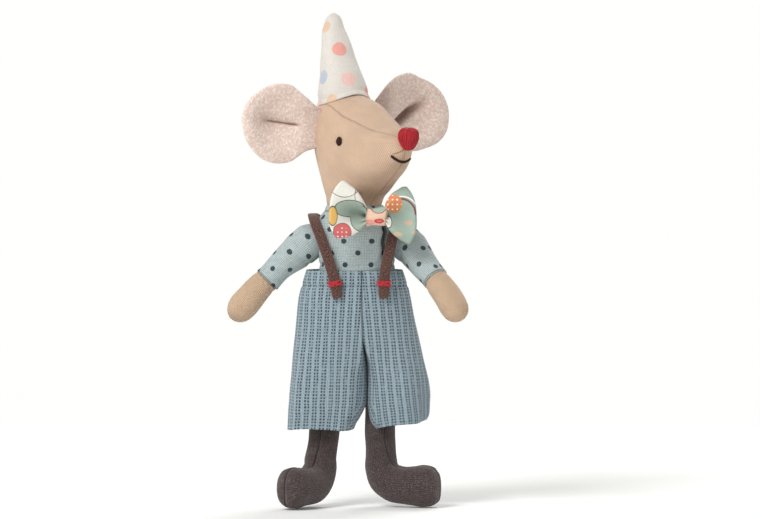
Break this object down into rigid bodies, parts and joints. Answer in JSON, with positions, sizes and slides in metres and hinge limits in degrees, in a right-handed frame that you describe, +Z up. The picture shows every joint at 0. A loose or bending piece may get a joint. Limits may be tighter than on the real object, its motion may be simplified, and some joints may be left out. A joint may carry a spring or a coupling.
{
  "type": "cloth mouse doll",
  "caption": "Standing stuffed cloth mouse with a pointed hat, floppy ears, bow tie, dotted shirt, braces and striped shorts; head, ears, arms and legs move.",
  "frame": {"origin": "middle of the doll's footprint box, on the floor under the soles", "axes": "+Z up to the tip of the hat, the doll faces -Y, its own left hand is towards +X"},
  "size_m": [0.086, 0.0624, 0.1784],
  "materials": {
    "face_jersey": "fine rib knit, matt",
    "ear_towelling": "looped pile, matt",
    "hat_cotton": "plain weave with soft printed dots",
    "bow_mint_cotton": "plain weave with a printed pattern",
    "bow_cream_cotton": "plain weave with a printed pattern",
    "bow_peach_cotton": "plain weave with a printed pattern",
    "shirt_cotton": "plain weave with printed dots",
    "shorts_cotton": "woven dotted stripe",
    "brace_felt": "felt",
    "boot_knit": "mottled knit",
    "red_thread": "twisted thread",
    "nose_thread": "satin stitch thread",
    "dark_thread": "twisted thread",
    "wadding": "soft fibre filling"
  },
  "bodies": {
    "torso": {"shirt_front": "shirt_cotton", "shirt_back": "shirt_cotton", "torso_stuffing": "wadding", "shorts_waist": "shorts_cotton", "left_brace": "brace_felt", "right_brace": "brace_felt", "left_brace_tie": "red_thread", "right_brace_tie": "red_thread", "left_back_tie": "red_thread", "right_back_tie": "red_thread"},
    "neck": {"neck_wadding": "wadding", "bow_left_loop": "bow_mint_cotton", "bow_right_loop": "bow_cream_cotton", "bow_knot": "bow_peach_cotton"},
    "head": {"head_left_panel": "face_jersey", "head_right_panel": "face_jersey", "head_crown_gusset": "face_jersey", "head_stuffing": "wadding", "nose": "nose_thread", "left_eye": "dark_thread", "right_eye": "dark_thread", "mouth": "dark_thread", "hat_cone": "hat_cotton", "hat_stuffing": "wadding"},
    "left_ear": {"left_ear_front": "ear_towelling", "left_ear_back": "face_jersey"},
    "right_ear": {"right_ear_front": "ear_towelling", "right_ear_back": "face_jersey"},
    "left_shoulder": {"left_shoulder_wadding": "wadding"},
    "right_shoulder": {"right_shoulder_wadding": "wadding"},
    "left_arm": {"left_sleeve": "shirt_cotton", "left_hand": "face_jersey", "left_arm_stuffing": "wadding"},
    "right_arm": {"right_sleeve": "shirt_cotton", "right_hand": "face_jersey", "right_arm_stuffing": "wadding"},
    "left_leg": {"left_leg_outer_panel": "boot_knit", "left_leg_inner_panel": "boot_knit", "left_leg_stuffing": "wadding", "left_shorts_leg": "shorts_cotton"},
    "right_leg": {"right_leg_outer_panel": "boot_knit", "right_leg_inner_panel": "boot_knit", "right_leg_stuffing": "wadding", "right_shorts_leg": "shorts_cotton"}
  },
  "joints": [
    {"name": "head_turn", "type": "hinge", "parent": "torso", "child": "neck", "pos_m": [0.00271, 0.00025, 0.112], "axis": [0, 0, 1], "range_deg": [-40, 6]},
    {"name": "head_tilt", "type": "hinge", "parent": "neck", "child": "head", "pos_m": [0.00271, 0.00025, 0.112], "axis": [-0.829, -0.5592, 0], "range_deg": [0, 15]},
    {"name": "left_ear_fold", "type": "hinge", "parent": "head", "child": "left_ear", "pos_m": [0.01205, 0.01388, 0.141], "axis": [0.0824, 0.0644, -0.9945], "range_deg": [-25, 25], "stiffness_Nm_per_rad": 0.0015},
    {"name": "right_ear_fold", "type": "hinge", "parent": "head", "child": "right_ear", "pos_m": [-0.01342, -0.0033, 0.138], "axis": [0.0905, 0.0523, 0.9945], "range_deg": [-25, 25], "stiffness_Nm_per_rad": 0.0015},
    {"name": "left_arm_swing", "type": "hinge", "parent": "torso", "child": "left_shoulder", "pos_m": [0.02021, 0.00025, 0.096], "axis": [0, 0, -1], "range_deg": [-66, 0]},
    {"name": "left_arm_raise", "type": "hinge", "parent": "left_shoulder", "child": "left_arm", "pos_m": [0.02021, 0.00025, 0.096], "axis": [-0.7071, -0.7071, 0], "range_deg": [-4, 42]},
    {"name": "right_arm_swing", "type": "hinge", "parent": "torso", "child": "right_shoulder", "pos_m": [-0.01339, 0.00025, 0.096], "axis": [0, 0, 1], "range_deg": [-20, 32]},
    {"name": "right_arm_raise", "type": "hinge", "parent": "right_shoulder", "child": "right_arm", "pos_m": [-0.01339, 0.00025, 0.096], "axis": [0, 1, 0], "range_deg": [-4, 42]},
    {"name": "left_hip", "type": "hinge", "parent": "torso", "child": "left_leg", "pos_m": [0.01191, 0.00025, 0.055], "axis": [-1, 0, 0], "range_deg": [-20, 85], "deforming": ["left_shorts_leg"]},
    {"name": "right_hip", "type": "hinge", "parent": "torso", "child": "right_leg", "pos_m": [-0.00559, 0.00025, 0.055], "axis": [-1, 0, 0], "range_deg": [-20, 85], "deforming": ["right_shorts_leg"]}
  ]
}
